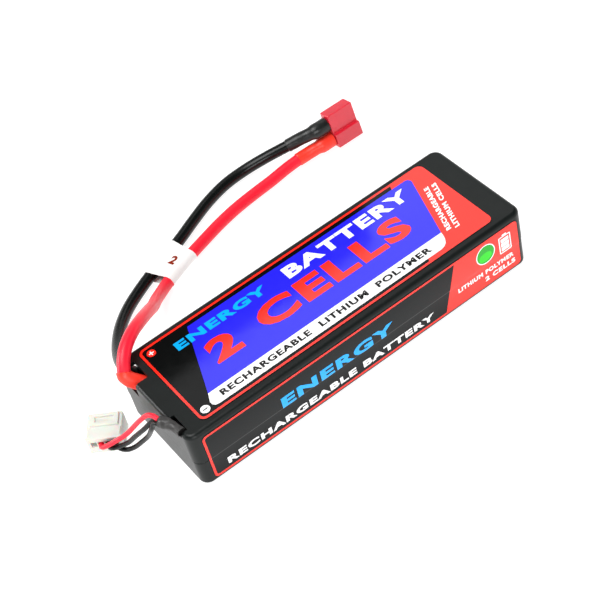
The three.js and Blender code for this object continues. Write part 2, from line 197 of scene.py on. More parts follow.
def at(x, y, z):
    """A point given in millimetres."""
    return Vector((x, y, z)) * MM


# ---------------------------------------------------------------- camera

CAMERA_PLACE = (-157.925, -327.505, 397.351)
CAMERA_TURN = (42.6632, 10.9887, -36.3637)
CAMERA_LENS = 92.98


def make_camera():
    data = bpy.data.cameras.new("camera")
    data.lens = CAMERA_LENS
    data.sensor_width = 36
    data.clip_start = 0.01
    camera = bpy.data.objects.new("camera", data)
    camera.location = at(*CAMERA_PLACE)
    camera.rotation_euler = [math.radians(turn) for turn in CAMERA_TURN]
    bpy.context.scene.collection.objects.link(camera)
    bpy.context.scene.camera = camera


make_camera()

# ---------------------------------------------------------------- materials


def screen(red, green, blue):
    """A screen colour, 0 to 255, as the linear colour that shaders use."""

    def linear(level):
        level /= 255
        return level / 12.92 if level <= 0.04045 else ((level + 0.055) / 1.055) ** 2.4

    return (linear(red), linear(green), linear(blue), 1)


def shaded(colour, factor):
    return (*(min(1, channel * factor) for channel in colour[:3]), 1)


def material(
    name,
    colour,
    roughness,
    mottle=0.08,
    mottle_size=5.0,
    rough_spread=0.05,
    grain=0.0,
    grain_size=0.2,
    **constants,
):
    """A material whose colour, roughness and relief vary by noise. grain is the relief's
    height and the sizes are in millimetres. constants are the shader's own sockets."""
    made = bpy.data.materials.new(name)
    made.use_nodes = True
    tree = made.node_tree
    shader = tree.nodes["Principled BSDF"]
    for socket, value in constants.items():
        shader.inputs[socket.replace("_", " ")].default_value = value
    place = tree.nodes.new("ShaderNodeTexCoord")

    def noise_of(size, detail):
        node = tree.nodes.new("ShaderNodeTexNoise")
        node.inputs["Scale"].default_value = 1 / (size * MM)
        node.inputs["Detail"].default_value = detail
        tree.links.new(place.outputs["Object"], node.inputs["Vector"])
        return node.outputs["Fac"]

    tint = tree.nodes.new("ShaderNodeValToRGB")
    low, high = tint.color_ramp.elements
    low.position, high.position = 0.3, 0.7
    low.color = shaded(colour, 1 - mottle)
    high.color = shaded(colour, 1 + mottle)
    tree.links.new(noise_of(mottle_size, 4), tint.inputs["Fac"])
    tree.links.new(tint.outputs["Color"], shader.inputs["Base Color"])

    gloss = tree.nodes.new("ShaderNodeMapRange")
    gloss.inputs["To Min"].default_value = max(0, roughness - rough_spread)
    gloss.inputs["To Max"].default_value = roughness + rough_spread
    tree.links.new(noise_of(mottle_size / 3, 5), gloss.inputs["Value"])
    tree.links.new(gloss.outputs["Result"], shader.inputs["Roughness"])

    if grain:
        relief = tree.nodes.new("ShaderNodeBump")
        relief.inputs["Distance"].default_value = grain * MM
        tree.links.new(noise_of(grain_size, 2), relief.inputs["Height"])
        tree.links.new(relief.outputs["Normal"], shader.inputs["Normal"])
    return made


def printed_ink(name, colour, **extra):
    """Ink under the labels' glossy clear film."""
    return material(
        name,
        colour,
        roughness=0.06,
        mottle=0.03,
        mottle_size=9,
        rough_spread=0.03,
        grain=0.003,
        grain_size=3,
        **extra,
    )


INK_BLACK = screen(6, 7, 7)
INK_RED = screen(250, 40, 24)
INK_BLUE = screen(34, 30, 226)
INK_WHITE = screen(250, 250, 250)
INK_SKY = screen(0, 170, 250)

case_plastic = material(
    "case_plastic", screen(13, 18, 17), roughness=0.34, mottle=0.15, grain=0.01, grain_size=0.2,
    Specular_IOR_Level=0.24,
)
film_black = printed_ink("film_black", INK_BLACK, Specular_IOR_Level=0.2)
film_side = printed_ink("film_side", screen(12, 15, 16), Specular_IOR_Level=0.2)
ink_red = printed_ink("ink_red", INK_RED)
ink_red_side = printed_ink("ink_red_side", INK_RED)
ink_blue = printed_ink("ink_blue", INK_BLUE)
ink_white = printed_ink("ink_white", INK_WHITE)
ink_sky = printed_ink("ink_sky", INK_SKY)
ink_black = printed_ink("ink_black", screen(6, 7, 9), Specular_IOR_Level=0.28)
ink_green = printed_ink("ink_green", screen(0, 170, 22))
ink_green_light = printed_ink("ink_green_light", screen(30, 215, 12))
ink_maroon = printed_ink("ink_maroon", screen(140, 45, 25))

silicone_red = material(
    "silicone_red", screen(250, 26, 52), roughness=0.38, mottle=0.05, grain=0.01, grain_size=0.5,
    Specular_IOR_Level=0.4,
)
silicone_black = material(
    "silicone_black", screen(4, 8, 7), roughness=0.27, mottle=0.1, grain=0.008, grain_size=0.5,
    Specular_IOR_Level=0.3,
)
shrink_red = material(
    "shrink_red", screen(255, 52, 32), roughness=0.4, mottle=0.06, grain=0.02, grain_size=0.9
)
shrink_black = material(
    "shrink_black", screen(9, 14, 12), roughness=0.36, mottle=0.1, grain=0.02, grain_size=0.9
)
shrink_grey = material(
    "shrink_grey", screen(46, 45, 44), roughness=0.45, mottle=0.15, grain=0.03, grain_size=0.6
)
nylon_red = material(
    "nylon_red", screen(214, 32, 54), roughness=0.24, mottle=0.05, grain=0.008, grain_size=0.3,
    Subsurface_Weight=0.15, Subsurface_Scale=0.001, Specular_IOR_Level=0.8,
)
nylon_white = material(
    "nylon_white", screen(212, 216, 208), roughness=0.35, mottle=0.02, grain=0.006, grain_size=0.5,
    Subsurface_Weight=0.5, Subsurface_Scale=0.003,
)
tag_film = material(
    "tag_film", screen(246, 246, 244), roughness=0.45, mottle=0.02, grain=0.02, grain_size=1.5
)
gold = material("gold", screen(240, 200, 110), roughness=0.28, mottle=0.1, Metallic=1.0)
brass = material("brass", screen(215, 170, 90), roughness=0.34, mottle=0.12, Metallic=1.0)
tin = material("tin", screen(205, 206, 208), roughness=0.35, mottle=0.1, grain=0.01, Metallic=1.0)
copper = material("copper", screen(215, 140, 90), roughness=0.35, mottle=0.12, Metallic=1.0)
foil = material(
    "foil", screen(176, 180, 184), roughness=0.36, mottle=0.08, grain=0.05, grain_size=2.5, Metallic=0.9
)
board_green = material("board_green", screen(24, 92, 48), roughness=0.4, mottle=0.12, grain=0.02)
foam_grey = material(
    "foam_grey", screen(58, 60, 62), roughness=0.95, mottle=0.25, mottle_size=0.8, grain=0.15,
    grain_size=0.5,
)

CAD_FINISHES = {
    "cell_lower": foil,
    "cell_upper": foil,
    "cell_lower_tab_negative": tin,
    "cell_lower_tab_positive": tin,
    "cell_upper_tab_negative": tin,
    "cell_upper_tab_positive": tin,
    "terminal_board": board_green,
    "series_link": copper,
    "solder_block_positive": tin,
    "solder_block_negative": tin,
    "foam_bottom": foam_grey,
    "foam_middle": foam_grey,
    "foam_top": foam_grey,
    "foam_end": foam_grey,
    "lead_root_red": silicone_red,
    "lead_root_black": silicone_black,
    "balance_root": silicone_black,
    "plug_contact_positive": gold,
    "plug_contact_negative": gold,
    "plug_spring_positive": brass,
    "plug_spring_negative": brass,
    "balance_terminal_1": tin,
    "balance_terminal_2": tin,
    "balance_terminal_3": tin,
}

for node, finish in CAD_FINISHES.items():
    slots = frame["nodes"][node].data.materials
    slots.clear()
    slots.append(finish)

# ---------------------------------------------------------------- making pieces


def piece(name, mesh, finish, slot, node=None, smooth=40):
    """A finished piece on the pack's body, standing for its CAD node if it has one. smooth
    is the angle up to which faces shade as one, or None if the mesh has its own normals."""
    mesh.materials.clear()
    mesh.materials.append(finish)
    if smooth:
        mesh.shade_smooth()
        mesh.set_sharp_from_angle(angle=math.radians(smooth))
    made = bpy.data.objects.new(name, mesh)
    bpy.context.scene.collection.objects.link(made)
    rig.ride(made, BODY)
    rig.slot(made, slot)
    if node:
        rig.replaces(made, node)
    return made


def mesh_of(fill):
    """A mesh made by fill(bmesh), its faces turned outwards."""
    work = bmesh.new()
    fill(work)
    bmesh.ops.recalc_face_normals(work, faces=work.faces)
    mesh = bpy.data.meshes.new("mesh")
    work.to_mesh(mesh)
    work.free()
    return mesh


def evaluated(data, modifiers=()):
    """The mesh that a curve, text or mesh gives, with modifiers as (kind, settings)."""
    holder = bpy.data.objects.new("holder", data)
    bpy.context.scene.collection.objects.link(holder)
    for kind, settings in modifiers:
        modifier = holder.modifiers.new(kind, kind)
        for key, value in settings.items():
            setattr(modifier, key, value)
    graph = bpy.context.evaluated_depsgraph_get()
    mesh = bpy.data.meshes.new_from_object(holder.evaluated_get(graph))
    bpy.data.objects.remove(holder)
    return mesh


def carved(mesh, cutters, edge):
    """The mesh with cutters taken away and its sharp edges rounded to edge."""
    steps = []
    tools = []
    for cutter in cutters:
        tool = bpy.data.objects.new("cutter", cutter)
        bpy.context.scene.collection.objects.link(tool)
        tools.append(tool)
        steps.append(("BOOLEAN", {"object": tool, "operation": "DIFFERENCE", "solver": "EXACT"}))
    whole = evaluated(mesh, steps)
    for tool in tools:
        bpy.data.objects.remove(tool)
    whole.shade_smooth()
    rounding = {
        "width": edge * MM,
        "segments": 2,
        "limit_method": "ANGLE",
        "angle_limit": math.radians(35),
        "miter_outer": "MITER_ARC",
    }
    return evaluated(whole, [("BEVEL", rounding), ("WEIGHTED_NORMAL", {"weight": 80})])


def box(low, high):
    """A box from its lowest to its highest corner."""

    def fill(work):
        bmesh.ops.create_cube(work, size=1)
        size = [(b - a) * MM for a, b in zip(low, high)]
        middle = [(a + b) / 2 * MM for a, b in zip(low, high)]
        bmesh.ops.scale(work, vec=size, verts=work.verts)
        bmesh.ops.translate(work, vec=middle, verts=work.verts)

    return mesh_of(fill)


def moved(mesh, matrix):
    mesh.transform(matrix)
    return mesh


def stacked(rings, around=False):
    """A skin over rings of as many points each. It ends in caps, or in its first ring."""

    def fill(work):
        loops = [[work.verts.new(point) for point in ring] for ring in rings]
        pairs = list(zip(loops, loops[1:]))
        if around:
            pairs.append((loops[-1], loops[0]))
        else:
            work.faces.new(loops[0][::-1])
            work.faces.new(loops[-1])
        for low, high in pairs:
            count = len(low)
            for i in range(count):
                j = (i + 1) % count
                work.faces.new((low[i], low[j], high[j], high[i]))

    return mesh_of(fill)


# ---------------------------------------------------------------- routes and tubes


def smooth_line(route, steps=8):
    """Points along the smooth curve through a route that is given in millimetres."""
    route = [at(*point) for point in route]
    ends = [2 * route[0] - route[1], *route, 2 * route[-1] - route[-2]]
    line = []
    for a, b, c, d in zip(ends, ends[1:], ends[2:], ends[3:]):
        before, here, after = (math.sqrt((q - p).length) for p, q in ((a, b), (b, c), (c, d)))
        out = ((b - a) / before - (c - a) / (before + here) + (c - b) / here) * here
        back = ((c - b) / here - (d - b) / (here + after) + (d - c) / after) * here
        line += geometry.interpolate_bezier(b, b + out / 3, c - back / 3, c, steps + 1)[:-1]
    return [*line, route[-1]]


def length_of(line):
    return sum((b - a).length for a, b in zip(line, line[1:]))


class Path:
    """A line with a place and two directions across it at any share of its length."""

    def __init__(self, line):
        self.line = line
        self.marks = [0.0]
        for a, b in zip(line, line[1:]):
            self.marks.append(self.marks[-1] + (b - a).length)
        self.length = self.marks[-1]
        self.ways = []
        for i in range(len(line)):
            ahead = line[min(i + 1, len(line) - 1)]
            behind = line[max(i - 1, 0)]
            self.ways.append((ahead - behind).normalized())
        side = self.ways[0].cross(Vector((0, 0, 1)))
        self.sides = [side.normalized()]
        for before, way in zip(self.ways, self.ways[1:]):
            side = before.rotation_difference(way) @ self.sides[-1]
            self.sides.append((side - way * side.dot(way)).normalized())

    def place(self, share):
        distance = min(max(share, 0), 1) * self.length
        index = 0
        while index < len(self.marks) - 2 and self.marks[index + 1] < distance:
            index += 1
        blend = (distance - self.marks[index]) / (self.marks[index + 1] - self.marks[index])
        centre = self.line[index].lerp(self.line[index + 1], blend)
        way = self.ways[index].lerp(self.ways[index + 1], blend).normalized()
        side = self.sides[index].lerp(self.sides[index + 1], blend)
        side = (side - way * side.dot(way)).normalized()
        return centre, side, way.cross(side)


def tube(line, profile, sides=28, hollow=False, lumps=0.0):
    """A tube along a line. profile holds (share of the length, radius) pairs: a hollow
    tube's goes out along its outside and comes back along its bore. lumps is the height
    of its unevenness."""
    path = Path(line)
    rings = []
    for share, radius in profile:
        centre, side, up = path.place(share)
        ring = []
        for i in range(sides):
            turn = 2 * math.pi * i / sides
            way = math.cos(turn) * side + math.sin(turn) * up
            point = centre + way * radius * MM
            ring.append(point + way * lumps * MM * noise.noise(point / (1.6 * MM)))
        rings.append(ring)
    return stacked(rings, around=hollow)


def wire_profile(length, radius):
    """A solid wire's profile, with a ring every millimetre or so."""
    count = max(8, round(length / (1.1 * MM)))
    return [(i / count, radius) for i in range(count + 1)]


def sleeve_profile(outer_at, bore_at, rings=30, lip=0.18):
    """A sleeve's profile: both radii are functions of the share of its length."""
    shares = [i / rings for i in range(rings + 1)]
    outside = [(share, outer_at(share)) for share in shares[1:-1]]
    inside = [(share, bore_at(share)) for share in shares]
    start = [(0, outer_at(0) - lip), (0.012, outer_at(0))]
    end = [(0.988, outer_at(1)), (1, outer_at(1) - lip)]
    return start + outside + end + inside[::-1]


def ease(x, low, high):
    """0 below low, 1 above high and smooth between."""
    t = min(max((x - low) / (high - low), 0), 1)
    return t * t * (3 - 2 * t)


# ---------------------------------------------------------------- leads and wires

RED_EXIT = [
    (-63.7, 5.5, 19.9),
    (-64.2, 8.3, 20.2),
    (-65.4, 11.2, 20.8),
    (-67.2, 13, 22.1),
    (-68.6, 13.9, 23.7),
    (-69.25, 14.9, 25.5),
    (-68.9, 15.38, 26.07),
]
BLACK_EXIT = [
    (-62.2, 8, 14.9),
    (-62.7, 11.5, 15.3),
    (-63.6, 15.5, 16),
    (-64.5, 19.5, 16.4),
    (-64.6, 22.5, 16.4),
]
RED_LEAD = [
    (-69.1, 15.15, 25.81),
    (-68.15, 16.26, 27.03),
    (-66, 18.6, 28.9),
    (-62.9, 21.4, 29.8),
    (-58.5, 25.1, 29.4),
    (-53.1, 30.1, 26.6),
    (-46.5, 38.6, 19.6),
    (-42.2, 45.7, 13),
    (-38.1, 52.4, 7.9),
    (-34.1, 57.3, 4.5),
    (-29.9, 60.8, 2.9),
    (-22, 64.6, 2.6),
    (-14.3, 67.3, 2.6),
    (-6.5, 70, 2.4),
    (1.4, 72.5, 2.3),
    (10.5, 74.6, 2.3),
    (20, 75.9, 2.3),
    (29, 76.7, 2.4),
    (36.5, 77.4, 2.8),
    (42.8, 77.57, 3.17),
]
BLACK_LEAD = [
    (-64.6, 22.2, 16.4),
    (-64.7, 24.7, 16),
    (-64.7, 26.6, 15.2),
    (-64.5, 29.2, 13.8),
    (-63.7, 33.8, 11.6),
    (-61.8, 39.7, 9.2),
    (-58.4, 46.6, 6.9),
    (-53.3, 53.9, 5),
    (-46.6, 60.5, 3.6),
    (-38.8, 65.7, 2.8),
    (-30.6, 69.8, 2.6),
    (-22.1, 73.2, 2.6),
    (-13.2, 77, 2.6),
    (-3.9, 81.7, 2.4),
    (6, 86.1, 2.3),
    (16, 88.9, 2.3),
    (25.5, 89.2, 2.7),
    (34, 87.1, 4.3),
    (42.75, 83.15, 6.97),
]
RED_PLUG_SLEEVE = [
    (42.4, 77.6, 3.15),
    (46.5, 77.4, 3.3),
    (50.3, 76.8, 3.8),
    (53.5, 76.3, 4.05),
    (58.1, 76.3, 4.05),
]
BLACK_PLUG_SLEEVE = [
    (42.4, 83.3, 6.85),
    (46.5, 81.5, 8.2),
    (50, 79.6, 9.4),
    (53.2, 78.4, 10.05),
    (58.1, 78.3, 10.05),
]
BALANCE_SLEEVE = [(-68.25, -18, 24.6), (-69.1, -14.2, 24.9), (-71, -9.6, 24.9)]
BALANCE_RED = [
    (-71.1, -9.3, 25.85),
    (-71.6, -7.2, 26),
    (-72.6, -4.7, 25),
    (-74.6, -1.6, 21.5),
    (-76.7, 1.7, 16.8),
    (-78.5, 4, 13.3),
    (-80.6, 6, 10.8),
    (-82.7, 8, 8.8),
    (-84.9, 10.2, 6.6),
    (-86.3, 12.2, 4.9),
    (-86.3, 13.7, 4.2),
    (-85.3, 15, 4.2),
]
BALANCE_BLACK_1 = [
    (-70.3, -8.95, 24.4),
    (-71, -7.2, 24.2),
    (-72.6, -5.6, 22.3),
    (-75, -2.9, 18.3),
    (-77.6, 1.2, 13),
    (-79.6, 4.2, 9),
    (-82, 7.2, 6.4),
    (-84.2, 9.4, 5.2),
    (-84.4, 11.6, 4.3),
    (-83.3, 13.6, 4.2),
]
BALANCE_BLACK_2 = [
    (-71.95, -9.65, 24.4),
    (-72.6, -8.2, 24.1),
    (-73.6, -7.1, 21.4),
    (-74.5, -3, 14.5),
    (-76.4, 0.3, 10),
    (-78.4, 3.1, 6.5),
    (-80.4, 5.4, 4.7),
    (-81.9, 7.8, 4.2),
    (-82.3, 10.2, 4.2),
    (-81.3, 12.1, 4.2),
]


def wire(name, route, radius, finish, slot, sides=28):
    line = smooth_line(route)
    mesh = tube(line, wire_profile(length_of(line), radius), sides)
    return piece(name, mesh, finish, slot, name), line


def declare_cord(made, line, radius, with_pieces):
    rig.cord(
        made,
        exit=line[0],
        length=length_of(line),
        diameter=2 * radius * MM,
        far_end="connector",
        stiffness="limp",
        lay="loose",
        path=line,
        with_pieces=with_pieces,
    )


def sleeve(name, route, outer_at, bore_at, finish, slot, lumps=0.03):
    mesh = tube(
        smooth_line(route),
        sleeve_profile(outer_at, bore_at),
        sides=32,
        hollow=True,
        lumps=lumps,
    )
    return piece(name, mesh, finish, slot, name)


def exit_radius(share):
    """A little narrower where it has shrunk onto the bare wire at its far end."""
    return EXIT_SLEEVE_RADIUS - 0.12 * ease(share, 0.55, 1.0)


def plug_radius(share):
    """Tight on the wire, then wide over the contact's solder cup."""
    return PLUG_SLEEVE_RADIUS - 0.45 * (1 - ease(share, 0.56, 0.68))


def wire_bore(share):
    """A little room round the wire, the same all along."""
    return WIRE_RADIUS + BORE_ROOM


def plug_bore(share):
    narrow = wire_bore(share)
    return narrow + (CUP_ROOM - narrow) * ease(share, 0.55, 0.68)


def make_leads():
    red_exit = sleeve("exit_sleeve_red", RED_EXIT, exit_radius, wire_bore, shrink_red, "red_shrink")
    black_exit = sleeve(
        "exit_sleeve_black", BLACK_EXIT, exit_radius, wire_bore, shrink_black, "black_shrink"
    )
    red_end = sleeve(
        "plug_sleeve_red", RED_PLUG_SLEEVE, plug_radius, plug_bore, shrink_red, "red_shrink", 0.06
    )
    black_end = sleeve(
        "plug_sleeve_black", BLACK_PLUG_SLEEVE, plug_radius, plug_bore, shrink_black, "black_shrink", 0.06
    )
    red, red_line = wire("main_lead_red", RED_LEAD, WIRE_RADIUS, silicone_red, "red_silicone")
    black, black_line = wire(
        "main_lead_black", BLACK_LEAD, WIRE_RADIUS, silicone_black, "black_silicone"
    )
    tag = make_tag(red_line, black_line)
    plug = make_plug()
    contacts = [
        frame["nodes"][name]
        for name in (
            "plug_contact_positive",
            "plug_contact_negative",
            "plug_spring_positive",
            "plug_spring_negative",
        )
    ]
    declare_cord(red, red_line, WIRE_RADIUS, [red_exit, red_end, plug, tag, *contacts])
    declare_cord(black, black_line, WIRE_RADIUS, [black_exit, black_end])


def balance_radius(share):
    return BALANCE_SLEEVE_RADIUS * (0.9 + 0.2 * ease(share, 0.1, 0.9))


def balance_bore(share):
    return balance_radius(share) - BALANCE_SLEEVE_WALL


def make_balance_lead():
    outer = sleeve(
        "balance_sleeve",
        BALANCE_SLEEVE,
        balance_radius,
        balance_bore,
        shrink_grey,
        "grey_shrink",
        lumps=0.35,
    )
    housing = make_balance_housing()
    terminals = [frame["nodes"][f"balance_terminal_{i}"] for i in (1, 2, 3)]
    wires = [
        ("balance_wire_red", BALANCE_RED, silicone_red, "red_silicone", [outer, housing, terminals[0]]),
        ("balance_wire_black_1", BALANCE_BLACK_1, silicone_black, "black_silicone", [terminals[1]]),
        ("balance_wire_black_2", BALANCE_BLACK_2, silicone_black, "black_silicone", [terminals[2]]),
    ]
    for name, route, finish, slot, others in wires:
        made, line = wire(name, route, BALANCE_WIRE_RADIUS, finish, slot, sides=16)
        declare_cord(made, line, BALANCE_WIRE_RADIUS, others)


# ---------------------------------------------------------------- tag round the leads

TAG_MIDDLE = (-22, 68.8)
TAG_TURN = math.radians(21.4)
TAG_FILM = 0.2
TAG_ON_BLACK = (-9.3, 7.7)  # where the paper starts and ends along each lead
TAG_ON_RED = (-8.5, 6.2)
TAG_SAG = 0.08


def tag_ring(red, black, across, radius):
    """The paper's outline round both leads, as seen along them."""
    points = []
    for centre, other, start, side in ((black, red, 90, -1), (red, black, 270, 1)):
        for i in range(13):
            turn = math.radians(start + i * 15)
            way = math.cos(turn) * across + math.sin(turn) * Vector((0, 0, 1))
            points.append(centre + way * radius)
        for i in range(1, 8):
            share = i / 8
            sag = TAG_SAG * MM * math.sin(math.pi * share)
            level = Vector((0, 0, side * (radius - sag)))
            points.append(centre.lerp(other, share) + level)
    return points


def make_tag(red_line, black_line):
    along = Vector((math.cos(TAG_TURN), math.sin(TAG_TURN), 0))
    across = Vector((along.y, -along.x, 0))
    middle = at(*TAG_MIDDLE, 0)

    def crossing(line, station):
        """The place on a lead that is this far along the tag."""
        for a, b in zip(line, line[1:]):
            low, high = ((point - middle).dot(along) for point in (a, b))
            if low <= station <= high:
                return a.lerp(b, (station - low) / (high - low))

    def ring(share, radius):
        red, black = (
            crossing(line, (low + share * (high - low)) * MM)
            for line, (low, high) in ((red_line, TAG_ON_RED), (black_line, TAG_ON_BLACK))
        )
        return tag_ring(red, black, across, radius * MM)

    shares = [i / 20 for i in range(21)]
    inner = WIRE_RADIUS + 0.04
    outside = [ring(share, inner + TAG_FILM) for share in shares]
    inside = [ring(share, inner) for share in shares]
    tag = piece("wire_tag", stacked(outside + inside[::-1], around=True), tag_film, "paper", "wire_tag")

    top = max(point.z for point in ring(0.5, inner + TAG_FILM))

    def on_tag(u, v, h):
        return middle + (across * u + along * v) * MM + Vector((0, 0, top + h * MM))

    digits = [lettering("2", (0.2, -2.6), (2.8, 1.6))]
    printed("tag_digits", digits, on_tag, 0, ink_maroon, "paper").parent = tag
    return tag


# ---------------------------------------------------------------- flat printing

PRINT_STEP = 0.008  # each layer of print stands this much higher than the one under it
PRINT_DEPTH = 0.03  # and reaches this far into the film
LETTER_WEIGHT = 0.045  # thickens the face's strokes without closing its S and G
LETTER_SPACING = 1.15  # and this keeps the thickened letters apart


def oval(x, y, wide, high, power, count=56):
    """A rounded outline between an ellipse (power 2) and a rectangle."""
    points = []
    for i in range(count):
        turn = 2 * math.pi * i / count
        c, s = math.cos(turn), math.sin(turn)
        u = wide * math.copysign(abs(c) ** (2 / power), c)
        v = high * math.copysign(abs(s) ** (2 / power), s)
        points.append((x + u, y + v))
    return points


def rounded(low, high, radius, count=8):
    """A rectangle with rounded corners."""
    points = []
    corners = [
        (high[0] - radius, high[1] - radius, 0),
        (low[0] + radius, high[1] - radius, 90),
        (low[0] + radius, low[1] + radius, 180),
        (high[0] - radius, low[1] + radius, 270),
    ]
    for x, y, start in corners:
        for i in range(count + 1):
            turn = math.radians(start + 90 * i / count)
            points.append((x + radius * math.cos(turn), y + radius * math.sin(turn)))
    return points


def shifted(points, across, up):
    return [(x + across, y + up) for x, y in points]


def filled(outlines):
    """A flat plate one unit thick with these outlines, each one inside another a hole."""
    curve = bpy.data.curves.new("outline", "CURVE")
    curve.dimensions = "2D"
    curve.fill_mode = "BOTH"
    curve.extrude = 0.5
    for points in outlines:
        spline = curve.splines.new("POLY")
        spline.points.add(len(points) - 1)
        for target, (x, y) in zip(spline.points, points):
            target.co = (x, y, 0, 1)
        spline.use_cyclic_u = True
    return evaluated(curve)


def lettering(text, low, high):
    """Words in the plain upright built-in face, made heavy and stretched to fill a rectangle."""
    curve = bpy.data.curves.new("words", "FONT")
    curve.body = text
    curve.extrude = 0.5
    curve.offset = LETTER_WEIGHT
    curve.space_character = LETTER_SPACING
    curve.resolution_u = 4
    mesh = evaluated(curve)
    xs = [vertex.co.x for vertex in mesh.vertices]
    ys = [vertex.co.y for vertex in mesh.vertices]
    wide = (high[0] - low[0]) / (max(xs) - min(xs))
    tall = (high[1] - low[1]) / (max(ys) - min(ys))
    for vertex in mesh.vertices:
        x, y, z = vertex.co
        vertex.co = (low[0] + (x - min(xs)) * wide, low[1] + (y - min(ys)) * tall, z)
    return mesh


def laid(plates, place, top, bottom, cuts):
    """Flat plates laid on a surface by place(across, up, height), between two heights. cuts
    are the heights up the plates at which they are divided, so that they can bend there."""

    def fill(work):
        for plate in plates:
            work.from_mesh(plate)
        bmesh.ops.remove_doubles(work, verts=work.verts, dist=1e-5)
        for cut in cuts:
            everything = work.verts[:] + work.edges[:] + work.faces[:]
            bmesh.ops.bisect_plane(work, geom=everything, plane_co=(0, cut, 0), plane_no=(0, 1, 0))
        for vertex in work.verts:
            x, y, z = vertex.co
            vertex.co = place(x, y, top if z > 0 else bottom)

    return mesh_of(fill)


def printed(name, plates, place, level, ink, slot, cuts=()):
    """Print on a surface, in the layer that level counts up to."""
    mesh = laid(plates, place, PRINT_STEP * (level + 1), -PRINT_DEPTH, cuts)
    return piece(name, mesh, ink, slot, smooth=20)


# ---------------------------------------------------------------- the case


def rounded_ring(inset, z):
    """The case's outline at one height, drawn in by inset."""
    half = (PACK_LENGTH / 2 - inset, CASE_WIDTH / 2 - inset)
    outline = rounded((-half[0], -half[1]), half, max(0.4, CORNER - inset), 10)
    return [at(x, y, z) for x, y in outline]


def edge_profile(z_edge, radius, up, count=8):
    """(inset, height) pairs round an edge, from the wall to the flat face."""
    pairs = []
    for i in range(count + 1):
        turn = math.pi / 2 * i / count
        pairs.append((radius * (1 - math.cos(turn)), z_edge - up * radius * (1 - math.sin(turn))))
    return pairs


def make_lid():
    lip_room = 0.75
    profile = [(SEAM_GROOVE, SEAM), (0, SEAM + SEAM_GROOVE), (0, SEAM + 1.5)]
    profile += edge_profile(CASE_HEIGHT, TOP_EDGE, 1)
    outside = [rounded_ring(inset, z) for inset, z in profile]
    bottom = [rounded_ring(WALL - lip_room, SEAM), rounded_ring(WALL - lip_room, SEAM + 1.65)]
    inside = [rounded_ring(WALL, SEAM + 1.65), rounded_ring(WALL, CASE_HEIGHT - WALL)]
    shell = stacked(inside[::-1] + bottom[::-1] + outside)
    red_notch = box((-100, 9.1, 18.8), (-63.7, 18, 40))
    black_hole = box((-67.5, 19.85, 13.3), (-61.6, 40, 19.8))
    balance_notch = box((-100, -18.6, 22.7), (-66.4, -10.6, 40))
    balance_room = box((-68.5, -18.6, 15.2), (-67, -12.6, 22.9))
    mesh = carved(shell, [red_notch, black_hole, balance_notch, balance_room], 0.25)
    piece("case_lid", mesh, case_plastic, "case_plastic", "case_lid", smooth=None)


def make_base():
    lip = 0.6
    outline = [(BASE_INSET + inset, z) for inset, z in edge_profile(0, BOTTOM_EDGE, -1)]
    outside = [rounded_ring(inset, z) for inset, z in outline[::-1]]
    rim = [
        rounded_ring(BASE_INSET, SEAM - SEAM_GROOVE),
        rounded_ring(BASE_INSET + SEAM_GROOVE, SEAM),
        rounded_ring(WALL - lip, SEAM),
        rounded_ring(WALL - lip, SEAM + 1.5),
        rounded_ring(WALL, SEAM + 1.5),
        rounded_ring(WALL, WALL),
    ]
    shell = stacked(outside + rim)
    mesh = carved(shell, [], 0.2)
    piece("case_base", mesh, case_plastic, "case_plastic", "case_base", smooth=None)


# ---------------------------------------------------------------- the labels

TOP_LOW = (-61.4, -19.8)
TOP_HIGH = (59.6, 20.4)
TOP_CORNER = 2.6
SIDE_LOW = (-64.7, 1.6)
SIDE_HIGH = (65.9, 22.4)
SIDE_CORNER = 1.8
FILM_DEPTH = 0.14
SEAM_CUTS = (10.9, 11.05, 11.2, 11.35, 11.5)


def on_top(u, v, h):
    return at(u, v, LABEL_TOP + h)


def seam_dent(v):
    """How far the side labels sink where they pass from the lid onto the base."""
    return BASE_INSET * (1 - ease(v, SEAM_CUTS[0], SEAM_CUTS[-1]))


def on_near(u, v, h):
    return at(u, -(LABEL_SIDE + h - seam_dent(v)), v)


def on_far(u, v, h):
    return at(-u, LABEL_SIDE + h - seam_dent(v), v)


def film(name, low, high, corner, place, finish, slot, cuts=()):
    """A label's film, whose front is at height 0 and whose back just clears the case."""
    mesh = laid([filled([rounded(low, high, corner)])], place, 0, -FILM_DEPTH, cuts)
    return piece(name, mesh, finish, slot, name, smooth=20)


def border_outlines(low, high, edges):
    """The outer and inner outlines of a border: edges holds (inset, corner) for each."""
    return [
        rounded((low[0] + inset, low[1] + inset), (high[0] - inset, high[1] - inset), corner)
        for inset, corner in edges
    ]


# The panel's rounded foot, from its right side to its left, which the white strip fills.
PANEL_FOOT = [
    (43.2, -11.3), (42.9, -12.7), (42.2, -14.6), (41.2, -16.1), (39.9, -17.0), (38.4, -17.4),
    (-52.9, -17.4), (-54.2, -17.1), (-55.0, -16.1), (-55.0, -14.9),
]
STRIP_CORNER = (-53.5, -11.5)
PANEL = [
    (-42.6, 17.5), (50.6, 17.5), (51.6, 17.1), (52.1, 16.2), (52.1, 15.4),
    *PANEL_FOOT, STRIP_CORNER,
]
STRIP = [STRIP_CORNER, *PANEL_FOOT]
RED_END = [
    (45.6, 19.9), (44.7, 17.3), (32.6, -17.3), (31.7, -19.3),
    (57.2, -19.3), (58.4, -18.9), (59.1, -17.9), (59.1, 18.2), (58.6, 19.3), (57.6, 19.9),
]


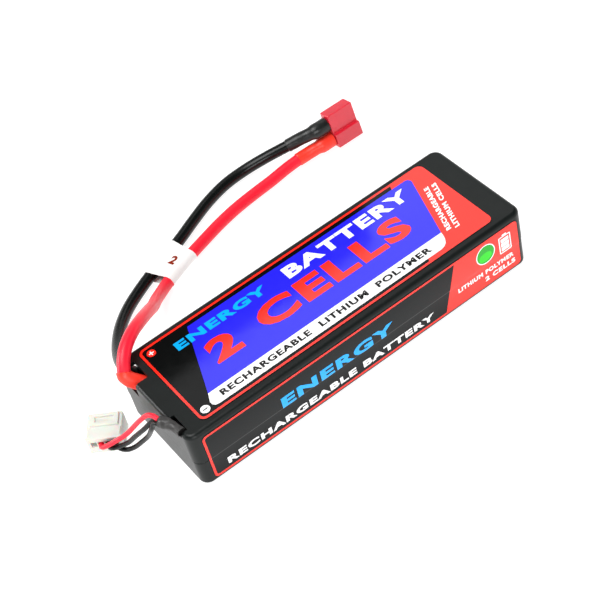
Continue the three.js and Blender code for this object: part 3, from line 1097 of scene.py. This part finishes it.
def make_top_label():
    slot = "top_label"
    film("label_top", TOP_LOW, TOP_HIGH, TOP_CORNER, on_top, film_black, slot)

    def layer(name, outline_sets, level, ink):
        printed(f"top_{name}", [filled(outlines) for outlines in outline_sets], on_top, level, ink, slot)

    border = border_outlines(TOP_LOW, TOP_HIGH, ((0.25, 2.4), (1.15, 1.6)))
    layer("border", [border], 0, ink_red)
    layer("red_end", [[RED_END]], 1, ink_red)
    layer("panel", [[PANEL]], 2, ink_blue)
    layer("strip", [[STRIP]], 3, ink_white)

    # Every word is a plain one in a plain upright face.
    words = [
        ("title", "ENERGY", (-50.4, 10.5), (-13.6, 14.5), ink_sky),
        ("headline", "BATTERY", (-5.5, 9.6), (47.5, 15.4), ink_white),
        ("main", "2 CELLS", (-44, -4), (38, 6.9), ink_red),
        ("strip_1", "RECHARGEABLE", (-50.4, -15.7), (-14.6, -13), ink_black),
        ("strip_2", "LITHIUM", (-10.6, -15.7), (9, -13), ink_black),
        ("strip_3", "POLYMER", (13, -15.7), (36, -13), ink_black),
    ]
    for name, text, low, high, ink in words:
        printed(f"top_{name}", [lettering(text, low, high)], on_top, 4, ink, slot)

    def up_the_end(u, v, h):
        """Words that run up the red end, beside the panel's slanted edge."""
        return on_top(46.9 + 0.345 * u - v, -12.4 + u, h)

    rating = [
        lettering("RECHARGEABLE", (0.2, 0), (21.8, 2)),
        lettering("LITHIUM CELLS", (-0.8, -3.2), (21.4, -1.2)),
    ]
    printed("top_rating", rating, up_the_end, 2, ink_white, slot)

    plus = [(-0.95, 0.2), (-0.2, 0.2), (-0.2, 0.95), (0.2, 0.95), (0.2, 0.2), (0.95, 0.2)]
    plus += [(-x, -y) for x, y in plus]
    layer("plus_disc", [[oval(-57.6, 16.6, 1.6, 1.6, 2)]], 0, ink_red)
    layer("plus", [[shifted(plus, -57.6, 16.6)]], 1, ink_white)
    layer("minus_disc", [[oval(-57.7, -16.1, 1.65, 1.65, 2)]], 0, ink_white)
    layer("minus", [[shifted(rounded((-0.9, -0.22), (0.9, 0.22), 0.1), -57.7, -16.1)]], 1, ink_black)


SIDE_RED = [
    (38.4, 21.6), (32.3, 2.4), (64.0, 2.4), (65.1, 3.0), (65.4, 4.0),
    (65.4, 20.2), (65.0, 21.2), (64.1, 21.6),
]
DISC_CENTRE = (51.5, 16.4)


def small_battery(x, y, wide, high):
    """A plain outline of a battery with three bars of charge, as a list of outlines."""
    line = 0.45
    inner_low = (x + line, y + line)
    inner_high = (x + wide - line, y + high - line)
    body = [rounded((x, y), (x + wide, y + high), 0.5), rounded(inner_low, inner_high, 0.25)]
    nub = rounded((x + wide * 0.32, y + high + 0.05), (x + wide * 0.68, y + high + 0.75), 0.2)
    step = (high - 2 * line) / 4
    bars = []
    for i in range(3):
        low = y + 2 * line + i * (step + 0.25)
        bars.append([rounded((x + 2 * line, low), (x + wide - 2 * line, low + step), 0.15)])
    return [body, [nub], *bars]


def make_side_label(side, place, high_x):
    """A side label. The one on the far side stops short of the black lead's hole."""
    slot = "side_label"
    cuts = SEAM_CUTS
    low = (SIDE_LOW[0] if side == "near" else -SIDE_HIGH[0], SIDE_LOW[1])
    high = (high_x, SIDE_HIGH[1])
    film(f"label_{side}", low, high, SIDE_CORNER, place, film_side, slot, cuts)

    def layer(name, outline_sets, level, ink):
        plates = [filled(outlines) for outlines in outline_sets]
        printed(f"{side}_{name}", plates, place, level, ink, slot, cuts=cuts)

    border = border_outlines(low, high, ((0.1, 1.7), (0.95, 1.0)))
    layer("border", [border], 0, ink_red_side)
    slide = high_x - SIDE_HIGH[0]
    layer("red_end", [[shifted(SIDE_RED, slide, 0)]], 1, ink_red_side)
    title = [lettering("ENERGY", (-35.2 + slide / 2, 11.0), (11.0 + slide / 2, 16.0))]
    printed(f"{side}_title", title, place, 2, ink_sky, slot, cuts=cuts)
    words = [lettering("RECHARGEABLE BATTERY", (-58.8, 3.9), (27.2 + slide, 6.9))]
    printed(f"{side}_words", words, place, 3, ink_white, slot, cuts=cuts)
    rating = [
        lettering("LITHIUM POLYMER", (38.4 + slide, 7.2), (63.0 + slide, 9.2)),
        lettering("2 CELLS", (50.0 + slide, 3.9), (63.4 + slide, 6.0)),
    ]
    printed(f"{side}_rating", rating, place, 3, ink_white, slot, cuts=cuts)
    centre = (DISC_CENTRE[0] + slide, DISC_CENTRE[1])
    layer("disc_ring", [[oval(*centre, 4.1, 4.2, 2), oval(*centre, 3.7, 3.8, 2)]], 3, ink_white)
    layer("disc", [[oval(*centre, 3.7, 3.8, 2)]], 4, ink_green)
    layer("disc_light", [[oval(centre[0] - 0.2, centre[1] - 1.1, 2.7, 1.9, 2.3)]], 5, ink_green_light)
    layer("battery_mark", small_battery(57.4 + slide, 11.6, 5.2, 7.6), 3, ink_white)


def make_labels():
    make_top_label()
    make_side_label("near", on_near, SIDE_HIGH[0])
    make_side_label("far", on_far, 59.4)


# ---------------------------------------------------------------- the power plug


def plug_frame():
    return Matrix.Translation(at(*PLUG_CORNER)) @ Matrix.Rotation(PLUG_TILT, 4, "X")


def make_plug():
    outline = [
        (0, 0),
        (0, PLUG_HEIGHT),
        (-STEM_THICKNESS, PLUG_HEIGHT),
        (-STEM_THICKNESS, CROSSBAR_HEIGHT),
        (-CROSSBAR_THICKNESS, CROSSBAR_HEIGHT),
        (-CROSSBAR_THICKNESS, 0),
    ]
    sharp = stacked([[at(x, y, z) for y, z in outline] for x in (0, PLUG_LENGTH)])
    body = evaluated(sharp, [("BEVEL", {"width": 0.35 * MM, "segments": 3})])
    positive = (-CROSSBAR_THICKNESS / 2, 3.4)
    negative = (-STEM_THICKNESS / 2, 9.7)
    cutters = []
    for (y, z), wide_in_y in ((positive, True), (negative, False)):
        for low, high, half_wide, half_high in ((2.2, 30, 3.0, 1.3), (-5, 3, 1.8, None)):
            if half_high:
                across, up = (half_wide, half_high) if wide_in_y else (half_high, half_wide)
                cutters.append(box((low, y - across, z - up), (high, y + across, z + up)))
            elif wide_in_y:
                cutters.append(box((low, y - half_wide, z - 1.2), (high, y + half_wide, z)))
            else:
                cutters.append(box((low, y, z - half_wide), (high, y + 1.2, z + half_wide)))
    mesh = carved(body, cutters, 0.1)
    return piece(
        "plug_housing", moved(mesh, plug_frame()), nylon_red, "red_nylon", "plug_housing", smooth=None
    )


# ---------------------------------------------------------------- the balance plug

HOUSING_PLACE = (-84.9, 13.5, 0)
HOUSING_TURN = math.radians(-36.5)
HOUSING_SIZE = (12.2, 10.9, 7.2)
CAVITY_PITCH = 2.5


def make_balance_housing():
    wide, long, high = HOUSING_SIZE
    outline = rounded((-wide / 2, 0), (wide / 2, long), 0.6, 5)
    body = stacked([[at(x, y, z) for x, y in outline] for z in (0, high)])
    raised = box((-4.9, 5.2, high - 1), (4.9, long - 0.6, high + 0.8))
    cutters = [box((-3.2, 6.6, high), (3.2, 9.0, high + 2))]
    for i in range(4):
        middle = (i - 1.5) * CAVITY_PITCH
        cutters.append(box((middle - 1, -1, 3.0), (middle + 1, long + 1, 5.4)))
    for side in (-1, 1):
        cutters.append(box((side * wide / 2 - 0.35, 1.2, 1.4), (side * wide / 2 + 0.35, 4.6, high + 1)))
    merged = evaluated_union(body, raised)
    mesh = carved(merged, cutters, 0.18)
    turn = Matrix.Translation(at(*HOUSING_PLACE)) @ Matrix.Rotation(HOUSING_TURN, 4, "Z")
    return piece(
        "balance_housing", moved(mesh, turn), nylon_white, "white_nylon", "balance_housing", smooth=None
    )


def evaluated_union(first, second):
    other = bpy.data.objects.new("other", second)
    bpy.context.scene.collection.objects.link(other)
    settings = {"object": other, "operation": "UNION", "solver": "EXACT"}
    result = evaluated(first, [("BOOLEAN", settings)])
    bpy.data.objects.remove(other)
    return result


# ---------------------------------------------------------------- studio


def make_floor():
    mesh = bpy.data.meshes.new("floor")
    half = 3.0
    level = -0.05 * MM
    corners = [(-half, -half, level), (half, -half, level), (half, half, level), (-half, half, level)]
    mesh.from_pydata(corners, [], [(0, 1, 2, 3)])
    floor = bpy.data.objects.new("floor", mesh)
    made = bpy.data.materials.new("floor_pale")
    made.use_nodes = True
    shader = made.node_tree.nodes["Principled BSDF"]
    shader.inputs["Base Color"].default_value = (0.35, 0.35, 0.35, 1)
    shader.inputs["Roughness"].default_value = 0.9
    shader.inputs["Specular IOR Level"].default_value = 0.0
    shader.inputs["Emission Color"].default_value = (1, 1, 1, 1)
    shader.inputs["Emission Strength"].default_value = 0.88
    mesh.materials.append(made)
    bpy.context.scene.collection.objects.link(floor)
    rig.stage(floor)


def soft_light(name, place, target, size, power):
    """A rectangular light, its width level. Places and sizes are in metres."""
    data = bpy.data.lights.new(name, "AREA")
    data.shape = "RECTANGLE"
    data.size, data.size_y = size
    data.energy = power
    light = bpy.data.objects.new(name, data)
    light.location = place
    light.rotation_euler = (Vector(target) - Vector(place)).to_track_quat("-Z", "Y").to_euler()
    bpy.context.scene.collection.objects.link(light)


def make_studio():
    scene = bpy.context.scene
    world = bpy.data.worlds.new("studio")
    world.use_nodes = True
    nodes, links = world.node_tree.nodes, world.node_tree.links
    # Pale along the horizon, like a studio's curved backdrop, and dim overhead.
    way = nodes.new("ShaderNodeTexCoord")
    parts = nodes.new("ShaderNodeSeparateXYZ")
    fade = nodes.new("ShaderNodeMapRange")
    fade.inputs["From Min"].default_value = 0.2
    fade.inputs["From Max"].default_value = 0.45
    fade.inputs["To Min"].default_value = 1.0
    fade.inputs["To Max"].default_value = 0.12
    links.new(way.outputs["Generated"], parts.inputs["Vector"])
    links.new(parts.outputs["Z"], fade.inputs["Value"])
    links.new(fade.outputs["Result"], nodes["Background"].inputs["Strength"])
    nodes["Background"].inputs["Color"].default_value = (1, 1, 1, 1)
    scene.world = world
    scene.view_settings.view_transform = "Standard"
    make_floor()
    soft_light("overhead", (-0.3, 0.1, 1.15), (0, 0.02, 0), (0.8, 0.8), 13)
    soft_light("front", (-0.35, -1.2, 0.6), (0, 0, 0), (0.9, 0.6), 10)
    soft_light("left_back", (-0.95, 0.88, 0.43), (0, 0, 0.02), (0.55, 0.3), 7)
    # These two stand upright behind, where the glossy top label mirrors them.
    soft_light("back_high", (0.5, 0.9, 1.47), (0.5, 0, 1.47), (1.4, 0.86), 5)
    soft_light("back_low", (0.87, 0.9, 0.83), (0.87, 0, 0.83), (0.7, 0.42), 1.3)


# ---------------------------------------------------------------- everything

make_leads()
make_balance_lead()
make_lid()
make_base()
make_labels()
make_studio()

size = {"cad": [list(corner) for corner in cad_box], "visual": [list(corner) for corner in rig.bounds()]}
with open("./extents.json", "w") as out:
    json.dump(size, out, indent=1)
